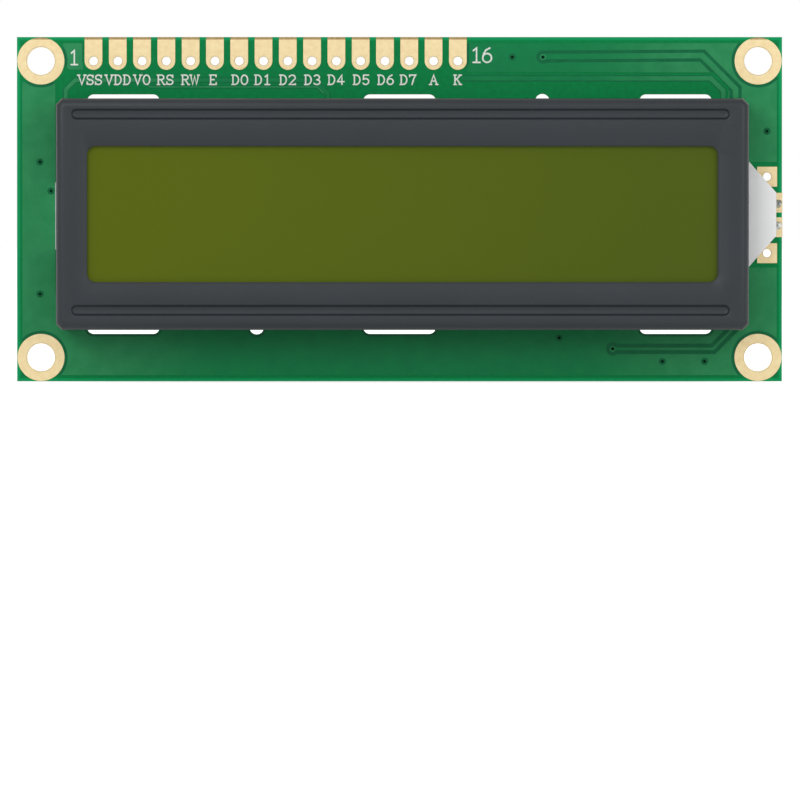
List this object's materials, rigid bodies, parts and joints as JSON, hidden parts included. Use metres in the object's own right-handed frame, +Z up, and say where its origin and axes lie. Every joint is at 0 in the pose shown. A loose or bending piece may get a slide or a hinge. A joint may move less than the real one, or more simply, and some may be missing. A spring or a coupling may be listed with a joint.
{
  "type": "character lcd module",
  "caption": "Character display module: a green circuit board with a header pad row, a black pressed bezel round a yellow-green window, and epoxy-covered chips behind.",
  "frame": {"origin": "centre of the four mounting holes, on the board's front face", "axes": "-Y out of the display towards the viewer, +X to the viewer's right along the board's length, +Z up towards the edge with the header pads"},
  "size_m": [0.0801, 0.0105, 0.036],
  "materials": {
    "board_laminate": "green solder mask over glass epoxy laminate, with lacquered sheen",
    "bezel_paint": "satin black paint on pressed steel",
    "display_face": "smooth yellow-green polariser film",
    "cell_glass": "clear float glass",
    "seal_epoxy": "cured epoxy seal",
    "display_film": "matt plastic film",
    "light_guide_plastic": "pale translucent moulded acrylic",
    "reflector_film": "white film",
    "lamp_body": "white moulded body with a yellow phosphor face",
    "solder": "bright reflowed solder",
    "elastomer": "silicone rubber with carbon layers",
    "chip_epoxy": "black cured epoxy, satin",
    "silicon": "polished silicon",
    "resistor_body": "alumina with a dark glass overcoat",
    "resistor_cap": "tinned end caps",
    "gold_plate": "thin gold over copper"
  },
  "bodies": {
    "root": {"circuit_board": "board_laminate", "bezel": "bezel_paint", "front_polariser": "display_face", "front_glass": "cell_glass", "rear_glass": "cell_glass", "cell_seal": "seal_epoxy", "rear_polariser": "display_film", "diffuser_sheet": "display_film", "light_guide": "light_guide_plastic", "reflector_sheet": "reflector_film", "backlight_lamp": "lamp_body", "backlight_leads": "solder", "lamp_edge_solder": "solder", "jumper_solder": "solder", "resistor_solder": "solder", "elastomer_strip_top": "elastomer", "elastomer_strip_bottom": "elastomer", "controller_glob": "chip_epoxy", "driver_glob": "chip_epoxy", "controller_die": "silicon", "driver_die": "silicon", "resistor_r1": "resistor_body", "resistor_r2": "resistor_body", "resistor_r3": "resistor_body", "resistor_r4": "resistor_body", "resistor_r5": "resistor_body", "resistor_r6": "resistor_body", "resistor_r7": "resistor_body", "resistor_r8": "resistor_body", "resistor_r1_caps": "resistor_cap", "resistor_r2_caps": "resistor_cap", "resistor_r3_caps": "resistor_cap", "resistor_r4_caps": "resistor_cap", "resistor_r5_caps": "resistor_cap", "resistor_r6_caps": "resistor_cap", "resistor_r7_caps": "resistor_cap", "resistor_r8_caps": "resistor_cap", "resistor_pads": "gold_plate", "header_pads": "gold_plate", "mounting_hole_pads": "gold_plate", "bezel_tab_pads": "gold_plate", "backlight_wire_pads": "gold_plate", "lamp_edge_pads": "gold_plate", "lamp_hole_pads": "gold_plate", "u3_pads": "gold_plate", "c1_pads": "gold_plate", "c2_pads": "gold_plate", "c3_pads": "gold_plate", "jumper_pads": "gold_plate", "target_dots": "gold_plate"}
  },
  "joints": []
}
